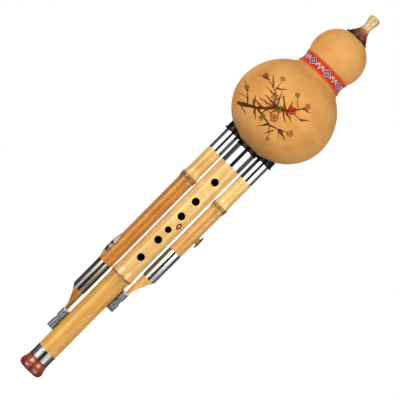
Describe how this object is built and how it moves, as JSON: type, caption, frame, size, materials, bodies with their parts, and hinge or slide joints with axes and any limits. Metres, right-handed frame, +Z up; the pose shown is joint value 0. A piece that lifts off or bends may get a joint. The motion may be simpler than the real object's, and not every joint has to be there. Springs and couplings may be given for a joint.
{
  "type": "hulusi gourd flute",
  "caption": "Double-bulb gourd flute: finger-hole bamboo pipe between two stoppered drone pipes, steel ferrules, ribboned waist and resin mouthpiece.",
  "frame": {"origin": "centre of the tail bell's rim, on the main pipe's axis", "axes": "+Z up the main pipe to the mouthpiece; finger holes face -Y; short drone on the +X side, long drone on the -X side"},
  "size_m": [0.0918, 0.0918, 0.42],
  "materials": {
    "bamboo": "satin lacquer",
    "dark_bamboo": "satin lacquer",
    "gourd_skin": "matt dried gourd skin",
    "steel": "polished",
    "cast_metal": "rough grey casting",
    "black_resin": "gloss",
    "red_wood": "gloss lacquer",
    "amber": "amber resin, red-brown at the foot",
    "ribbon": "woven band",
    "cork": "greased cork",
    "brass": "bright",
    "dark_wood": "dark stained",
    "pale_resin": "hazy pale resin"
  },
  "bodies": {
    "pipes": {"main_pipe": "bamboo", "left_drone": "dark_bamboo", "right_drone": "bamboo", "tail_bell": "red_wood", "tail_ring": "steel", "left_lower_sleeve": "steel", "right_lower_sleeve": "steel", "left_tail_clip": "cast_metal", "right_tail_clip": "cast_metal", "left_clip_screw": "cast_metal", "right_clip_screw": "cast_metal", "main_cork": "cork", "left_cork": "cork", "right_cork": "cork", "main_reed_holder": "black_resin", "left_reed_holder": "black_resin", "right_reed_holder": "black_resin", "main_reed_plate": "brass", "left_reed_plate": "brass", "right_reed_plate": "brass"},
    "gourd_head": {"gourd": "gourd_skin", "waist_ribbon": "ribbon", "socket_collar": "black_resin", "main_ferrule": "steel", "left_ferrule": "steel", "right_ferrule": "steel", "neck_ring": "black_resin"},
    "mouth_tube": {"mouthpiece": "amber", "mouthpiece_cork": "cork"},
    "right_stopper": {"right_stopper_stem": "bamboo", "right_stopper_head": "dark_wood"},
    "left_stopper": {"left_stopper_cap": "pale_resin", "left_stopper_upper_peg": "dark_wood", "left_stopper_lower_peg": "dark_wood"},
    "main_tongue": {"main_reed_tongue": "brass"},
    "left_tongue": {"left_reed_tongue": "brass"},
    "right_tongue": {"right_reed_tongue": "brass"}
  },
  "joints": [
    {"name": "gourd_lift", "type": "slide", "parent": "pipes", "child": "gourd_head", "axis": [0, 0, 1], "range_m": [0, 0.065]},
    {"name": "mouthpiece_pull", "type": "slide", "parent": "gourd_head", "child": "mouth_tube", "axis": [0, 0, 1], "range_m": [0, 0.014]},
    {"name": "right_stopper_pull", "type": "slide", "parent": "pipes", "child": "right_stopper", "axis": [1, 0, 0], "range_m": [0, 0.005]},
    {"name": "left_stopper_pull", "type": "slide", "parent": "pipes", "child": "left_stopper", "axis": [-1, 0, 0], "range_m": [0, 0.005]},
    {"name": "main_reed_swing", "type": "hinge", "parent": "pipes", "child": "main_tongue", "pos_m": [0, -0.0056, 0.2763], "axis": [1, 0, 0], "range_deg": [-3, 3], "stiffness_Nm_per_rad": 0.003},
    {"name": "left_reed_swing", "type": "hinge", "parent": "pipes", "child": "left_tongue", "pos_m": [-0.0183, -0.00345, 0.2763], "axis": [1, 0, 0], "range_deg": [-3, 3], "stiffness_Nm_per_rad": 0.002},
    {"name": "right_reed_swing", "type": "hinge", "parent": "pipes", "child": "right_tongue", "pos_m": [0.0183, -0.00345, 0.2763], "axis": [1, 0, 0], "range_deg": [-3, 3], "stiffness_Nm_per_rad": 0.002}
  ]
}
